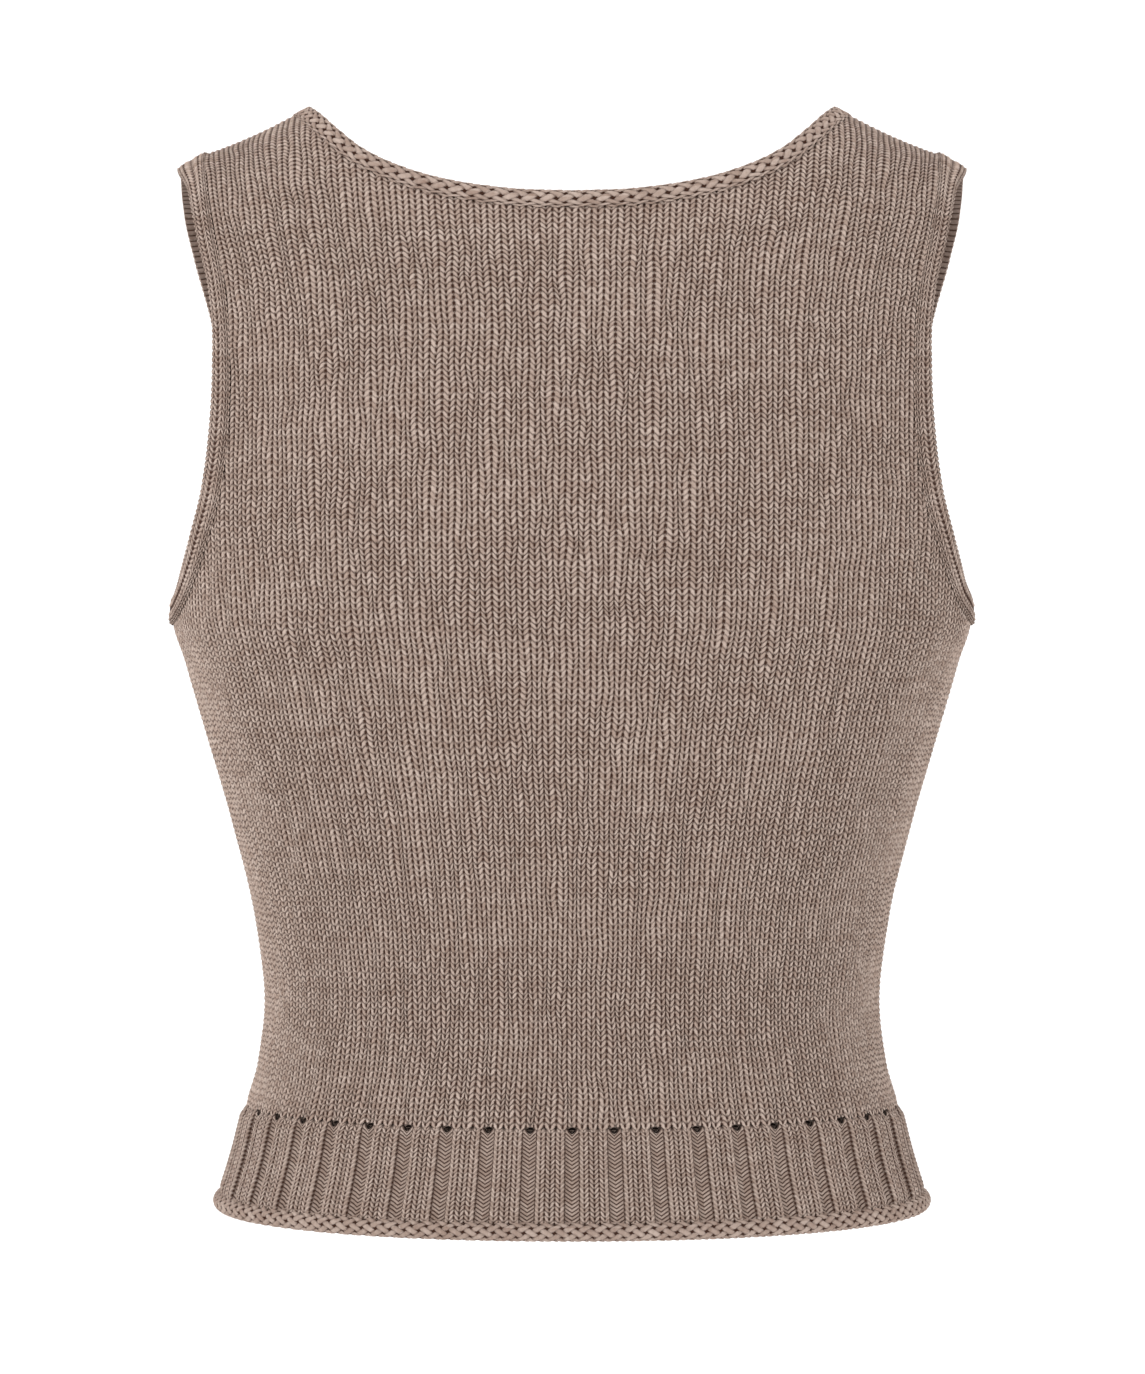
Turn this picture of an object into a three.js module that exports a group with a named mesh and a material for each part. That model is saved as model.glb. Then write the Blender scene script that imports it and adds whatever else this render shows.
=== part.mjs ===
// Sleeveless knitted vest, worn form with nobody in it. Millimetres, +Z up.
// z = 0 is the level where neck and shoulders meet, x = y = 0 the middle of the
// shoulder line, the back panel faces +Y and the front panel faces -Y.
import * as THREE from 'three';

// ---- driving sizes -------------------------------------------------------
const WALL = 2.2;            // thickness of the panels
const SEAM = 0.3;            // gap kept between two pieces at a seam
const Z_RIB_TOP = -421.0;    // eyelet row
const Z_RIB_BOTTOM = -455.4; // rib meets the curled edge
const Z_UNDERARM = -217.0;   // top of the side seam
const Z_YOKE = -102.0;       // above this the panels round over the shoulders
const RIB_REPEATS = 22;      // per panel
const RIB_PROUD = 1.5;       // knit wales of the rib stand out from the panel
const RIB_SUNK = -0.5;       // purl wales of the rib
const RIB_KNIT_SHARE = 0.62; // part of a repeat taken by the knit wales
const ROLL_RADIUS = 4.2, ROLL_CORE = 1.9, Z_ROLL = -460.0, ROLL_IN = 1.2;
const NECK_WIDTH = 6.5, ARM_WIDTH = 10.0, ARM_TUCK = 0.3;

// ---- short tables --------------------------------------------------------
// one row for each level: z, half width, back depth, front depth, roundness
const LEVELS = [
  //   z     half   back  front  power
  [-460.0, 148.2, 102.0, 108.0, 2.10],
  [-440.0, 142.0,  97.5, 104.5, 2.10],
  [-421.0, 137.2,  94.0, 101.5, 2.12],
  [-402.0, 132.0,  90.0,  98.5, 2.14],
  [-377.0, 129.3,  86.5,  96.5, 2.15],
  [-345.0, 132.8,  86.0, 100.0, 2.15],
  [-301.0, 143.2,  89.5, 108.5, 2.14],
  [-262.0, 154.7,  94.5, 116.5, 2.12],
  [-235.0, 162.8,  96.5, 118.0, 2.10],
  [-217.0, 168.4,  98.0, 117.0, 2.08],
  [-170.0, 170.6, 101.0, 110.0, 2.05],
  [-120.0, 171.4, 100.0, 101.0, 2.02],
  [ -80.0, 173.0,  98.5,  95.0, 2.00],
  [ -40.0, 179.0,  97.0,  91.5, 2.00],
  [  10.0, 184.0,  96.0,  90.0, 2.00],
];
// edge of each panel at the armhole: z, half width of the back, of the front
const ARMHOLE = [
  //   z     back   front
  [-217.0, 168.4, 168.4],
  [-215.4, 166.6, 166.8],
  [-210.0, 161.6, 162.0],
  [-200.0, 156.2, 156.4],
  [-185.0, 150.6, 150.8],
  [-166.0, 144.8, 145.0],
  [-145.0, 141.5, 141.8],
  [-122.0, 140.4, 141.4],
  [-102.0, 140.8, 143.8],
  [ -80.0, 143.2, 148.2],
  [ -56.0, 148.8, 153.8],
  [ -38.0, 152.6, 156.2],
  [ -20.0, 155.8, 155.8],
];
// shoulder line, and how far below it the cloth has turned upright
const SHOULDER = [
  //  x      z    drop
  [   0,  20.0, 155],
  [  40,  17.5, 148],
  [  80,  10.0, 128],
  [ 105,   2.5, 108],
  [ 116.5, -3.6, 99],
  [ 136, -13.0,  90],
  [ 155.8, -20.2, 80],
  [ 185, -26.0,  76],
];
// lower edge of the neck trim: x, z on the back, z on the front
const NECK = [
  //  x      back    front
  [   0,   -51.3, -136.0],
  [  18,   -50.8, -134.6],
  [  38,   -48.6, -128.5],
  [  58,   -44.3, -115.0],
  [  76,   -37.6,  -94.0],
  [  90,   -29.6,  -69.0],
  [ 101,   -19.8,  -44.0],
  [ 109,   -11.6,  -24.0],
  [ 114,    -6.6,  -10.0],
  [ 116.5,  -3.6,   -3.6],
];
// soft hollows and ridges: side (+1 back), q across, z, reach across, reach up, lean, depth
const FOLDS = [
  //side   q      z    dq    dz   lean  depth
  [ 1,  0.905, -238, 0.050, 34,  0.0011, -2.4],
  [ 1, -0.915, -244, 0.055, 40, -0.0013, -2.0],
  [ 1,  0.800, -262, 0.060, 44,  0.0016, -1.1],
  [ 1, -0.780, -255, 0.060, 40, -0.0014, -1.3],
  [ 1,  0.700, -368, 0.160, 16,  0.0,    -0.9],
  [ 1, -0.640, -380, 0.180, 15,  0.0,    -1.1],
  [-1,  0.880, -236, 0.060, 36,  0.0016, -2.6],
  [-1, -0.890, -242, 0.060, 38, -0.0018, -2.3],
  [-1,  0.620, -372, 0.200, 16,  0.0,    -1.2],
  [-1, -0.690, -365, 0.160, 15,  0.0,    -1.0],
];
const COLUMNS_NECK = [0, 0.17, 0.34, 0.5, 0.64, 0.76, 0.86, 0.94, 0.985, 1];
const COLUMNS_SHOULDER = [0.25, 0.5, 0.75, 1];
const ROWS_BODY = [-420.7, -402, -377, -347, -318, -290, -262, -238];
const ROWS_YOKE = [0.2, 0.4, 0.58, 0.74, 0.88, 1];

// ---- smooth reading of a table (monotone cubic) --------------------------
function reader(table, col) {
  const X = table.map(r => r[0]), Y = table.map(r => r[col]), n = X.length;
  const h = [], d = [], m = [];
  for (let i = 0; i < n - 1; i++) { h[i] = X[i + 1] - X[i]; d[i] = (Y[i + 1] - Y[i]) / h[i]; }
  m[0] = d[0]; m[n - 1] = d[n - 2];
  for (let i = 1; i < n - 1; i++) {
    if (d[i - 1] * d[i] <= 0) m[i] = 0;
    else {
      const a = 2 * h[i] + h[i - 1], b = h[i] + 2 * h[i - 1];
      m[i] = (a + b) / (a / d[i - 1] + b / d[i]);
    }
  }
  return v => {
    if (v <= X[0]) return Y[0] + (v - X[0]) * m[0];
    if (v >= X[n - 1]) return Y[n - 1] + (v - X[n - 1]) * m[n - 1];
    let i = 0;
    while (v > X[i + 1]) i++;
    const t = (v - X[i]) / h[i], t2 = t * t, t3 = t2 * t;
    return Y[i] * (2 * t3 - 3 * t2 + 1) + h[i] * m[i] * (t3 - 2 * t2 + t)
      + Y[i + 1] * (3 * t2 - 2 * t3) + h[i] * m[i + 1] * (t3 - t2);
  };
}
const halfWidth = reader(LEVELS, 1), backDepth = reader(LEVELS, 2);
const frontDepth = reader(LEVELS, 3), power = reader(LEVELS, 4);
const shoulderZ = reader(SHOULDER, 1), shoulderDrop = reader(SHOULDER, 2);
const armBack = reader(ARMHOLE, 1), armFront = reader(ARMHOLE, 2);
const neckBack = reader(NECK, 1), neckFront = reader(NECK, 2);
const depthOf = side => (side > 0 ? backDepth : frontDepth);

// ---- the form: q runs -1..1 across a panel in equal lengths of cloth ------
const STEPS = 96;
const levelCache = new Map();
function level(side, z) {
  const key = side + ':' + z.toFixed(3);
  if (levelCache.has(key)) return levelCache.get(key);
  const A = halfWidth(z), B = depthOf(side)(z), e = 2 / power(z);
  const arc = [0];
  let px = 0, py = B;
  for (let i = 1; i <= STEPS; i++) {
    const th = (Math.PI / 2) * i / STEPS;
    const x = A * Math.sin(th) ** e, y = B * Math.max(Math.cos(th), 0) ** e;
    arc.push(arc[i - 1] + Math.hypot(x - px, y - py));
    px = x; py = y;
  }
  const out = { A, B, e, arc, half: arc[STEPS] };
  levelCache.set(key, out);
  return out;
}
function angleAt(L, q) {
  const s = Math.min(Math.abs(q), 1) * L.half;
  let i = 0;
  while (i < STEPS - 1 && L.arc[i + 1] < s) i++;
  const t = (s - L.arc[i]) / (L.arc[i + 1] - L.arc[i]);
  return (Math.PI / 2) * (i + Math.min(t, 1)) / STEPS;
}
function qOfX(side, x, z) {
  const L = level(side, z);
  const th = Math.asin(Math.min(Math.abs(x) / L.A, 1) ** (1 / L.e));
  const f = th / (Math.PI / 2) * STEPS, i = Math.min(Math.floor(f), STEPS - 1);
  return (L.arc[i] + (f - i) * (L.arc[i + 1] - L.arc[i])) / L.half;
}
function foldDepth(side, q, z) {
  let d = 0;
  for (const [s, q0, z0, dq, dz, lean, depth] of FOLDS) {
    if (s !== side) continue;
    const a = (q - q0 - lean * (z - z0)) / dq, b = (z - z0) / dz;
    d += depth * Math.exp(-a * a - b * b);
  }
  return d;
}
function xAt(side, q, z) {
  const L = level(side, z);
  return Math.sign(q) * L.A * Math.sin(angleAt(L, q)) ** L.e;
}
function formPoint(side, q, z, lift = 0) {
  const L = level(side, z), th = angleAt(L, q);
  const k = lift + foldDepth(side, q, z) * Math.min(1, 6 * (1 - Math.abs(q)));
  const x = Math.sign(q) * (L.A + k) * Math.sin(th) ** L.e;
  let y = (L.B + k) * Math.max(Math.cos(th), 0) ** L.e;
  const ax = Math.abs(x), top = shoulderZ(ax), drop = shoulderDrop(ax);
  const c = (z - (top - drop)) / drop;
  if (c > 0) y *= Math.sqrt(Math.max(0, 1 - c * c));
  return new THREE.Vector3(x, side * y, z);
}

// ---- closed meshes -------------------------------------------------------
function solid(name, positions, faces, material) {
  const g = new THREE.BufferGeometry();
  g.setAttribute('position', new THREE.Float32BufferAttribute(positions.flatMap(p => [p.x, p.y, p.z]), 3));
  g.setIndex(faces.flat());
  g.computeVertexNormals();
  const m = new THREE.Mesh(g, material);
  m.name = name;
  return m;
}
// a wall between a grid of outer points and the same grid moved inwards
function wall(name, grid, inner, flip, material) {
  const rows = grid.length, cols = grid[0].length, pts = [], faces = [];
  for (const g of [grid, inner]) for (const r of g) for (const p of r) pts.push(p);
  const id = (k, i, j) => (k * rows + i) * cols + j;
  const add = (a, b, c) => faces.push(flip ? [a, c, b] : [a, b, c]);
  const quad = (a, b, c, d) => { add(a, b, c); add(a, c, d); };
  for (let i = 0; i < rows - 1; i++) for (let j = 0; j < cols - 1; j++) {
    quad(id(0, i, j), id(0, i, j + 1), id(0, i + 1, j + 1), id(0, i + 1, j));
    quad(id(1, i, j), id(1, i + 1, j), id(1, i + 1, j + 1), id(1, i, j + 1));
  }
  for (let j = 0; j < cols - 1; j++) {
    quad(id(0, 0, j), id(1, 0, j), id(1, 0, j + 1), id(0, 0, j + 1));
    const t = rows - 1;
    quad(id(0, t, j), id(0, t, j + 1), id(1, t, j + 1), id(1, t, j));
  }
  for (let i = 0; i < rows - 1; i++) {
    quad(id(0, i, 0), id(0, i + 1, 0), id(1, i + 1, 0), id(1, i, 0));
    const t = cols - 1;
    quad(id(0, i, t), id(1, i, t), id(1, i + 1, t), id(0, i + 1, t));
  }
  return solid(name, pts, faces, material);
}
// outward normals of a grid; side says which way out is
function gridNormals(grid, side) {
  const rows = grid.length, cols = grid[0].length;
  return grid.map((row, i) => row.map((p, j) => {
    const a = grid[i][Math.min(j + 1, cols - 1)].clone().sub(grid[i][Math.max(j - 1, 0)]);
    const b = grid[Math.min(i + 1, rows - 1)][j].clone().sub(grid[Math.max(i - 1, 0)][j]);
    const n = a.cross(b).normalize();
    // columns run towards +X on both panels, rows run upwards
    if (side > 0) n.negate();
    return n;
  }));
}
// a band or tube that runs round a closed line of points
function ring(name, line, section, material) {
  const n = line.length, m = section.length, pts = [], faces = [];
  for (const f of line) for (const [d, o] of section)
    pts.push(f.p.clone().addScaledVector(f.d, d).addScaledVector(f.n, o));
  for (let i = 0; i < n; i++) for (let j = 0; j < m; j++) {
    const a = i * m + j, b = i * m + (j + 1) % m;
    const c = ((i + 1) % n) * m + (j + 1) % m, e = ((i + 1) % n) * m + j;
    faces.push([a, b, c], [a, c, e]);
  }
  let vol = 0;
  for (const [a, b, c] of faces) vol += pts[a].dot(new THREE.Vector3().crossVectors(pts[b], pts[c])) / 6;
  return solid(name, pts, vol < 0 ? faces.map(([a, b, c]) => [a, c, b]) : faces, material);
}

// ---- panels --------------------------------------------------------------
function panel(side) {
  const arm = side > 0 ? armBack : armFront, neck = side > 0 ? neckBack : neckFront;
  const zTip = ARMHOLE[ARMHOLE.length - 1][0], xTip = ARMHOLE[ARMHOLE.length - 1][1];
  const neckHalf = NECK[NECK.length - 1][0];
  const qTip = qOfX(side, xTip, zTip), qNeck = qOfX(side, neckHalf, shoulderZ(neckHalf));
  const uNeck = qNeck / qTip;
  const half = [...COLUMNS_NECK.map(c => c * uNeck), ...COLUMNS_SHOULDER.map(c => uNeck + c * (1 - uNeck))];
  const us = [...half.slice(1).reverse().map(u => -u), ...half];
  const topOf = u => {
    let z = -20;
    const onNeck = Math.abs(u) < uNeck - 1e-6;
    for (let k = 0; k < 60; k++) {
      const x = Math.abs(xAt(side, u * qTip, z));
      z += 0.6 * ((onNeck ? neck(Math.min(x, neckHalf)) : shoulderZ(x)) - z);
    }
    return z;
  };
  const tops = us.map(topOf), edgeTop = tops[tops.length - 1];
  // levels along the armhole edge: the table's rows, then equal turns of the shoulder
  const edge = ARMHOLE.slice(0, 9).map(r => r[0]);
  const drop = shoulderDrop(xTip), foot = edgeTop - drop;
  const start = Math.asin((Z_YOKE - foot) / drop);
  for (const t of ROWS_YOKE) edge.push(t === 1 ? edgeTop : foot + drop * Math.sin(start + t * (Math.PI / 2 - start)));
  // rows are level up to here; above, each column shares them out up to its own top
  const zFan = side > 0 ? -166 : -185;
  const rows = ROWS_BODY.map(z => us.map(u => [u, z]));
  for (const ze of edge) {
    const qe = ze <= Z_UNDERARM ? 1 : ze === edgeTop ? qTip : qOfX(side, arm(ze), ze);
    rows.push(us.map((u, j) => {
      const z = ze <= zFan ? ze : ze === edgeTop ? tops[j] : zFan + (ze - zFan) * (tops[j] - zFan) / (edgeTop - zFan);
      return [u * qe, z];
    }));
  }
  const last = rows.length - 1;
  const grid = rows.map((row, i) => row.map(([q, z], j) => {
    const p = formPoint(side, q, z);
    const onSeam = (Math.abs(q) > 0.9999) || (i === last && Math.abs(us[j]) > uNeck - 1e-6);
    if (onSeam) p.y = side * SEAM / 2;
    return p;
  }));
  const normals = gridNormals(grid, side);
  normals.forEach((row, i) => row.forEach((n, j) => {
    const q = rows[i][j][0];
    if (Math.abs(q) > 0.9999) n.set(Math.sign(q), 0, n.z).normalize();
    if (i === 0) n.setZ(0).normalize();
    if (i === last && Math.abs(us[j]) > uNeck - 1e-6) {
      const x = Math.abs(grid[i][j].x), s = (shoulderZ(x + 1) - shoulderZ(x - 1)) / 2;
      n.set(-s * Math.sign(grid[i][j].x), 0, 1).normalize();
    }
  }));
  const inner = grid.map((row, i) => row.map((p, j) => {
    const v = p.clone().addScaledVector(normals[i][j], -WALL);
    if (side * v.y < SEAM / 2) v.y = side * SEAM / 2;
    return v;
  }));
  const uMid = us.findIndex(u => u > uNeck - 1e-6);
  return { side, us, uNeck, rows, grid, inner, normals, last, neckEnd: uMid };
}

const yarn = (colour, rough) => new THREE.MeshStandardMaterial({ color: colour, roughness: rough, metalness: 0 });
const COLOUR_PANEL = 0x96817a, COLOUR_RIB = 0x8f7b70, COLOUR_TRIM = 0x998479;
const back = panel(1), front = panel(-1);
const part = new THREE.Group();
part.name = 'knitted_vest';
part.add(wall('back_body', back.grid, back.inner, true, yarn(COLOUR_PANEL, 0.92)));
part.add(wall('front_body', front.grid, front.inner, false, yarn(COLOUR_PANEL, 0.92)));

// ---- ribs ----------------------------------------------------------------
function rib(side) {
  const cols = [];
  for (let k = -RIB_REPEATS / 2; k < RIB_REPEATS / 2; k++) {
    const a = 0.5 - RIB_KNIT_SHARE / 2, b = 0.5 + RIB_KNIT_SHARE / 2;
    for (const [f, lift] of [[a - 0.1, RIB_SUNK], [a + 0.08, RIB_PROUD], [b - 0.08, RIB_PROUD], [b + 0.1, RIB_SUNK]])
      cols.push([(k + f) / (RIB_REPEATS / 2), lift]);
  }
  cols.unshift([-1, RIB_SUNK]);
  cols.push([1, RIB_SUNK]);
  const levels = [Z_RIB_BOTTOM, -438, Z_RIB_TOP];
  const place = extra => levels.map(z => cols.map(([q, lift]) => {
    const p = formPoint(side, q, z, lift + extra);
    if (Math.abs(q) > 0.9999) p.y = side * SEAM / 2;
    return p;
  }));
  const outer = place(0), inner = place(-WALL);
  for (const row of inner) for (const p of row) if (side * p.y < SEAM / 2) p.y = side * SEAM / 2;
  return [outer, inner];
}
for (const side of [1, -1]) {
  const [outer, inner] = rib(side);
  part.add(wall(side > 0 ? 'back_hem_rib' : 'front_hem_rib', outer, inner, side > 0, yarn(COLOUR_RIB, 0.94)));
}

// ---- curled hem edge -----------------------------------------------------
{
  const count = 48, line = [];
  for (let i = 0; i < count; i++) {
    const side = i < count / 2 ? 1 : -1, f = (i % (count / 2)) / (count / 4);
    const q = side > 0 ? 1 - f : f - 1;
    const p = formPoint(side, q, Z_ROLL), eps = 0.01;
    const a = formPoint(side, Math.max(-1, q - eps), Z_ROLL), b = formPoint(side, Math.min(1, q + eps), Z_ROLL);
    if (Math.abs(q) > 0.9999) p.y = 0;
    const t = b.sub(a);
    const d = Math.abs(q) > 0.9999 ? new THREE.Vector3(Math.sign(q), 0, 0)
      : new THREE.Vector3(-t.y, t.x, 0).multiplyScalar(side).normalize();
    line.push({ p: p.addScaledVector(d, -ROLL_IN), d, n: new THREE.Vector3(0, 0, 1) });
  }
  const section = [];
  for (const a of [205, 245, 285, 325, 5, 45, 85, 120, 152])
    section.push([ROLL_RADIUS * Math.cos(a * Math.PI / 180), ROLL_RADIUS * Math.sin(a * Math.PI / 180)]);
  for (const a of [152, 100, 30, 320, 260, 205])
    section.push([ROLL_CORE * Math.cos(a * Math.PI / 180), ROLL_CORE * Math.sin(a * Math.PI / 180)]);
  part.add(ring('hem_edge', line, section, yarn(COLOUR_RIB, 0.95)));
}

// ---- bands that run round the neck and the armholes -----------------------
// each follows the panels' own edge points; the band lies in the cloth's
// direction beyond the edge, so the seam gap is the same all the way round
function edgeLine(points, inside, tuck = () => 0) {
  const n = points.length;
  return points.map(([p, nn], i) => {
    const t = points[(i + 1) % n][0].clone().sub(points[(i + n - 1) % n][0]).normalize();
    const d = new THREE.Vector3().crossVectors(t, nn).normalize();
    if (d.dot(inside.clone().sub(p)) < 0) d.negate();
    const o = new THREE.Vector3().crossVectors(d, t).normalize();
    if (o.dot(nn) < 0) o.negate();
    return { p: p.clone(), d: d.applyAxisAngle(t, tuck(p)), n: o.applyAxisAngle(t, tuck(p)) };
  });
}
const joined = (a, na, b, nb) => [a.clone().add(b).multiplyScalar(0.5), na.clone().add(nb).normalize()];
// neck: across the back panel, then back across the front panel
{
  const L = back.last, first = back.us.length - 1 - back.neckEnd, end = back.neckEnd, pts = [];
  for (let j = first; j <= end; j++) {
    if (j === first || j === end) pts.push(joined(back.grid[L][j], back.normals[L][j], front.grid[L][j], front.normals[L][j]));
    else pts.push([back.grid[L][j], back.normals[L][j]]);
  }
  for (let j = end - 1; j > first; j--) pts.push([front.grid[L][j], front.normals[L][j]]);
  const line = edgeLine(pts, new THREE.Vector3(0, 0, 40));
  const w = NECK_WIDTH, g = SEAM;
  part.add(ring('neck_trim', line, [[g + 0.6, -1.5], [g + 0.05, 0.0], [g + 0.25 * w, 0.9], [g + 0.6 * w, 0.9], [g + 0.92 * w, 0.2],
    [g + w, -0.9], [g + 0.85 * w, -1.9], [g + 0.4 * w, -2.0]], yarn(COLOUR_TRIM, 0.9)));
}
for (const sx of [1, -1]) {
  const j = sx > 0 ? back.us.length - 1 : 0, i0 = ROWS_BODY.length, L = back.last, pts = [];
  for (let i = i0; i <= L; i++) {
    if (i === i0 || i === L) pts.push(joined(back.grid[i][j], back.normals[i][j], front.grid[i][j], front.normals[i][j]));
    else pts.push([back.grid[i][j], back.normals[i][j]]);
  }
  for (let i = L - 1; i > i0; i--) pts.push([front.grid[i][j], front.normals[i][j]]);
  // the band tips inwards under the arm
  const tuck = p => ARM_TUCK * Math.max(0, 1 - (p.z - Z_UNDERARM) / 26) ** 2;
  const line = edgeLine(pts, new THREE.Vector3(sx * 190, 0, -110), p => -sx * tuck(p));
  const w = ARM_WIDTH, g = SEAM;
  part.add(ring(sx > 0 ? 'armhole_trim_left' : 'armhole_trim_right', line,
    [[g + 0.5, -1.6], [g + 0.05, 0.0], [g + 0.3 * w, 0.9], [g + 0.7 * w, 0.9], [g + w, -0.2],
      [g + 0.97 * w, -1.6], [g + 0.7 * w, -2.0], [g + 0.3 * w, -2.0]], yarn(COLOUR_TRIM, 0.9)));
}

export default part;
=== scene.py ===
import bpy
import math
import numpy as np
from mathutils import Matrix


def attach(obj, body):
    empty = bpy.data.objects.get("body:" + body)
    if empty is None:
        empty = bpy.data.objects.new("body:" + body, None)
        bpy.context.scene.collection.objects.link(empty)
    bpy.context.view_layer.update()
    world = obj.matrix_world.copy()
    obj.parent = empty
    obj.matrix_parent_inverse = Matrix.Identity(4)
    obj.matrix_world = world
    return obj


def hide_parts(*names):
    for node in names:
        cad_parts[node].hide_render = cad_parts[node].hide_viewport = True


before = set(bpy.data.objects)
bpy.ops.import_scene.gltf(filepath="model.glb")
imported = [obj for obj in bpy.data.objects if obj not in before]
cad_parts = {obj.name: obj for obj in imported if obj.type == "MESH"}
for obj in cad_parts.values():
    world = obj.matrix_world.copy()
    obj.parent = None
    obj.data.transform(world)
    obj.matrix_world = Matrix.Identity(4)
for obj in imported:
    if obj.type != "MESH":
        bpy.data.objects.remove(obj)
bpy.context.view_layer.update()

scene = bpy.context.scene

# ---------------------------------------------------------------- camera
# The photo was taken level, from behind, at about the height of the waist.
CAM_DISTANCE, CAM_Z = 1.60, -0.240       # metres, from x = y = 0
PHOTO_MM = 0.423                          # millimetres a pixel in the plane y = 0
PHOTO_W, PHOTO_H = 1145, 1374
PHOTO_CX, PHOTO_CY = 572.0, 108.0         # pixel of x = 0, z = 0
cam_data = bpy.data.cameras.new("photo_camera")
cam = bpy.data.objects.new("photo_camera", cam_data)
scene.collection.objects.link(cam)
scene.camera = cam
cam.location = (0.0, CAM_DISTANCE, CAM_Z)
cam.rotation_euler = (math.radians(90), 0, math.radians(180))
cam_data.sensor_fit = "VERTICAL"
cam_data.sensor_height = 24.0
view_h = PHOTO_H * PHOTO_MM / 1000
cam_data.lens = 24.0 * CAM_DISTANCE / view_h
# rows: the pixel of the camera's axis, from the top of the photo
axis_row = PHOTO_CY - CAM_Z * 1000 / PHOTO_MM
cam_data.shift_y = (axis_row - PHOTO_H / 2) / PHOTO_H
cam_data.shift_x = (PHOTO_W / 2 - PHOTO_CX) / PHOTO_H
cam_data.clip_start, cam_data.clip_end = 0.05, 20

# ---------------------------------------------------------------- the form
# Section tables of the vest, in millimetres: z, half width, back depth, front depth, roundness
LEVELS = np.array([
    [-460.0, 148.2, 102.0, 108.0, 2.10], [-440.0, 142.0, 97.5, 104.5, 2.10], [-421.0, 137.2, 94.0, 101.5, 2.12],
    [-402.0, 132.0, 90.0, 98.5, 2.14], [-377.0, 129.3, 86.5, 96.5, 2.15], [-345.0, 132.8, 86.0, 100.0, 2.15],
    [-301.0, 143.2, 89.5, 108.5, 2.14], [-262.0, 154.7, 94.5, 116.5, 2.12], [-235.0, 162.8, 96.5, 118.0, 2.10],
    [-217.0, 168.4, 98.0, 117.0, 2.08], [-170.0, 170.6, 101.0, 110.0, 2.05], [-120.0, 171.4, 100.0, 101.0, 2.02],
    [-80.0, 173.0, 98.5, 95.0, 2.00], [-40.0, 179.0, 97.0, 91.5, 2.00], [10.0, 184.0, 96.0, 90.0, 2.00]])
# edge of each panel at the armhole: z, half width of the back, of the front
ARMHOLE = np.array([
    [-217.0, 168.4, 168.4], [-215.4, 166.6, 166.8], [-210.0, 161.6, 162.0], [-200.0, 156.2, 156.4], [-185.0, 150.6, 150.8],
    [-166.0, 144.8, 145.0], [-145.0, 141.5, 141.8], [-122.0, 140.4, 141.4], [-102.0, 140.8, 143.8], [-80.0, 143.2, 148.2],
    [-56.0, 148.8, 153.8], [-38.0, 152.6, 156.2], [-20.0, 155.8, 155.8]])
# shoulder line: x, z, how far below it the cloth has turned upright
SHOULDER = np.array([[0, 20.0, 155], [40, 17.5, 148], [80, 10.0, 128], [105, 2.5, 108], [116.5, -3.6, 99], [136, -13.0, 90],
                     [155.8, -20.2, 80], [185, -26.0, 76]])
# lower edge of the neck trim: x, z on the back, z on the front
NECK = np.array([[0, -51.3, -136.0], [18, -50.8, -134.6], [38, -48.6, -128.5], [58, -44.3, -115.0], [76, -37.6, -94.0],
                 [90, -29.6, -69.0], [101, -19.8, -44.0], [109, -11.6, -24.0], [114, -6.6, -10.0], [116.5, -3.6, -3.6]])
# soft hollows and ridges: side, q across, z, reach across, reach up, lean, depth
FOLDS = [(1, 0.905, -238, 0.050, 34, 0.0011, -2.4), (1, -0.915, -244, 0.055, 40, -0.0013, -2.0),
         (1, 0.800, -262, 0.060, 44, 0.0016, -1.1), (1, -0.780, -255, 0.060, 40, -0.0014, -1.3),
         (1, 0.700, -368, 0.160, 16, 0.0, -0.9), (1, -0.640, -380, 0.180, 15, 0.0, -1.1),
         (-1, 0.880, -236, 0.060, 36, 0.0016, -2.6), (-1, -0.890, -242, 0.060, 38, -0.0018, -2.3),
         (-1, 0.620, -372, 0.200, 16, 0.0, -1.2), (-1, -0.690, -365, 0.160, 15, 0.0, -1.0)]
Z_RIB_TOP, Z_RIB_BOTTOM, Z_UNDERARM, Z_TIP, X_TIP, X_NECK = -421.0, -455.4, -217.0, -20.0, 155.8, 116.5
Z_ROLL, ROLL_RADIUS, ROLL_IN = -460.6, 3.6, 0.9
WALES = 44.0           # half the wales of a panel
RIB_COURSES = 20
COURSE = 2.36          # millimetres a course in the panels
RISE = 1.12            # courses that a leg of a stitch climbs from the middle of its wale to the edge


def reader(table, col):
    x, y = table[:, 0].astype(float), table[:, col].astype(float)
    h = np.diff(x)
    d = np.diff(y) / h
    m = np.empty_like(x)
    m[0], m[-1] = d[0], d[-1]
    for i in range(1, len(x) - 1):
        if d[i - 1] * d[i] <= 0:
            m[i] = 0
        else:
            a, b = 2 * h[i] + h[i - 1], h[i] + 2 * h[i - 1]
            m[i] = (a + b) / (a / d[i - 1] + b / d[i])

    def at(v):
        v = np.asarray(v, float)
        i = np.clip(np.searchsorted(x, v) - 1, 0, len(h) - 1)
        t = (v - x[i]) / h[i]
        tt = np.clip(t, 0, 1)
        t2, t3 = tt * tt, tt * tt * tt
        r = y[i] * (2 * t3 - 3 * t2 + 1) + h[i] * m[i] * (t3 - 2 * t2 + tt) + y[i + 1] * (3 * t2 - 2 * t3) + h[i] * m[i + 1] * (t3 - t2)
        r = np.where(v < x[0], y[0] + (v - x[0]) * m[0], r)
        return np.where(v > x[-1], y[-1] + (v - x[-1]) * m[-1], r)
    return at


half_width, power = reader(LEVELS, 1), reader(LEVELS, 4)
depth = {1: reader(LEVELS, 2), -1: reader(LEVELS, 3)}
arm_edge = {1: reader(ARMHOLE, 1), -1: reader(ARMHOLE, 2)}
neck_edge = {1: reader(NECK, 1), -1: reader(NECK, 2)}
shoulder_z, shoulder_drop = reader(SHOULDER, 1), reader(SHOULDER, 2)

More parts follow.
